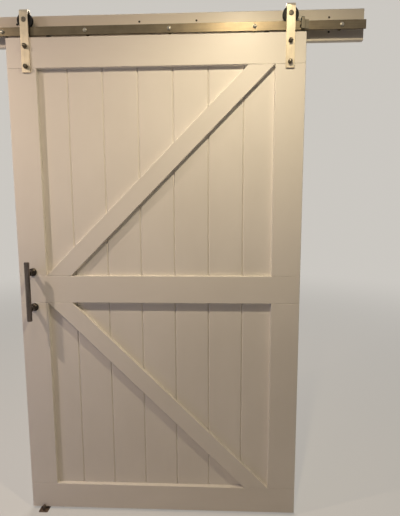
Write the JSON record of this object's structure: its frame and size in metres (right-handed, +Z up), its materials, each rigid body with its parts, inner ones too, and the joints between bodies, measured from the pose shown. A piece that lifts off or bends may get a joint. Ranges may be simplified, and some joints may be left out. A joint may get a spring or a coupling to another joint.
{
  "type": "sliding barn door",
  "caption": "Painted board door with two slanted braces, hung by strap hangers and grooved wheels from a flat rail on a header board, with pull handle and floor guide.",
  "frame": {"origin": "middle of the header board's back face, which lies on the wall", "axes": "+X along the rail towards the open end, +Y into the wall, +Z up"},
  "size_m": [2.656, 0.162, 2.2858],
  "materials": {
    "leaf_paint": "white satin paint on solid wood",
    "header_paint": "white satin paint on solid wood",
    "strap_steel": "brushed along its length",
    "track_steel": "brushed along its length",
    "dark_steel": "dark satin steel",
    "handle_steel": "brushed along its length",
    "bright_steel": "polished steel",
    "bronze_steel": "dark bronze coating",
    "black_nylon": "black moulded nylon",
    "black_rubber": "black rubber"
  },
  "bodies": {
    "root": {"header_board": "header_paint", "header_screws": "dark_steel", "track_rail": "track_steel", "track_spacers": "track_steel", "track_bolts": "dark_steel", "track_washers": "dark_steel", "end_stop_left": "dark_steel", "end_stop_right": "dark_steel", "stop_bumpers": "black_rubber", "stop_screws": "dark_steel", "guide_base": "bronze_steel", "guide_pins": "dark_steel", "guide_screws": "dark_steel"},
    "door": {"top_rail": "leaf_paint", "middle_rail": "leaf_paint", "bottom_rail": "leaf_paint", "stile_upper_left": "leaf_paint", "stile_upper_right": "leaf_paint", "stile_lower_left": "leaf_paint", "stile_lower_right": "leaf_paint", "brace_upper": "leaf_paint", "brace_lower": "leaf_paint", "plank_edge_left": "leaf_paint", "plank_1": "leaf_paint", "plank_2": "leaf_paint", "plank_3": "leaf_paint", "plank_4": "leaf_paint", "plank_5": "leaf_paint", "plank_6": "leaf_paint", "plank_7": "leaf_paint", "plank_edge_right": "leaf_paint", "hanger_strap_left": "strap_steel", "hanger_strap_right": "strap_steel", "door_bolts": "dark_steel", "handle_bar": "handle_steel", "handle_post_upper": "handle_steel", "handle_post_lower": "handle_steel", "handle_screws": "handle_steel", "axle_bolt_left": "bright_steel", "axle_bolt_right": "bright_steel", "axle_nuts": "bright_steel", "axle_bushes_left": "bright_steel", "axle_bushes_right": "bright_steel", "cap_nuts": "bright_steel", "anti_jump_screws": "bright_steel", "anti_jump_discs": "black_nylon"},
    "wheel_left": {"wheel_left": "black_nylon", "wheel_bearing_left": "bright_steel"},
    "wheel_right": {"wheel_right": "black_nylon", "wheel_bearing_right": "bright_steel"},
    "guide_roller_front": {"guide_roller_front": "black_nylon"},
    "guide_roller_back": {"guide_roller_back": "black_nylon"}
  },
  "joints": [
    {"name": "door_slide", "type": "slide", "parent": "root", "child": "door", "axis": [-1, 0, 0], "range_m": [-0.0115, 1.058]},
    {"name": "wheel_left_spin", "type": "hinge", "parent": "door", "child": "wheel_left", "pos_m": [-0.0755, -0.054, 0.0283], "axis": [0, 1, 0], "continuous": true},
    {"name": "wheel_right_spin", "type": "hinge", "parent": "door", "child": "wheel_right", "pos_m": [1.022, -0.054, 0.0283], "axis": [0, 1, 0], "continuous": true},
    {"name": "guide_roller_front_spin", "type": "hinge", "parent": "root", "child": "guide_roller_front", "pos_m": [-0.103, -0.0718, -2.172], "axis": [0, 0, 1], "continuous": true},
    {"name": "guide_roller_back_spin", "type": "hinge", "parent": "root", "child": "guide_roller_back", "pos_m": [-0.103, -0.0192, -2.172], "axis": [0, 0, 1], "continuous": true}
  ],
  "couplings": [
    {"joint": "wheel_left_spin", "follows": "door_slide", "rad_per_m": -40.816},
    {"joint": "wheel_right_spin", "follows": "door_slide", "rad_per_m": -40.816},
    {"joint": "guide_roller_front_spin", "follows": "door_slide", "rad_per_m": 153.85},
    {"joint": "guide_roller_back_spin", "follows": "door_slide", "rad_per_m": -153.85}
  ]
}
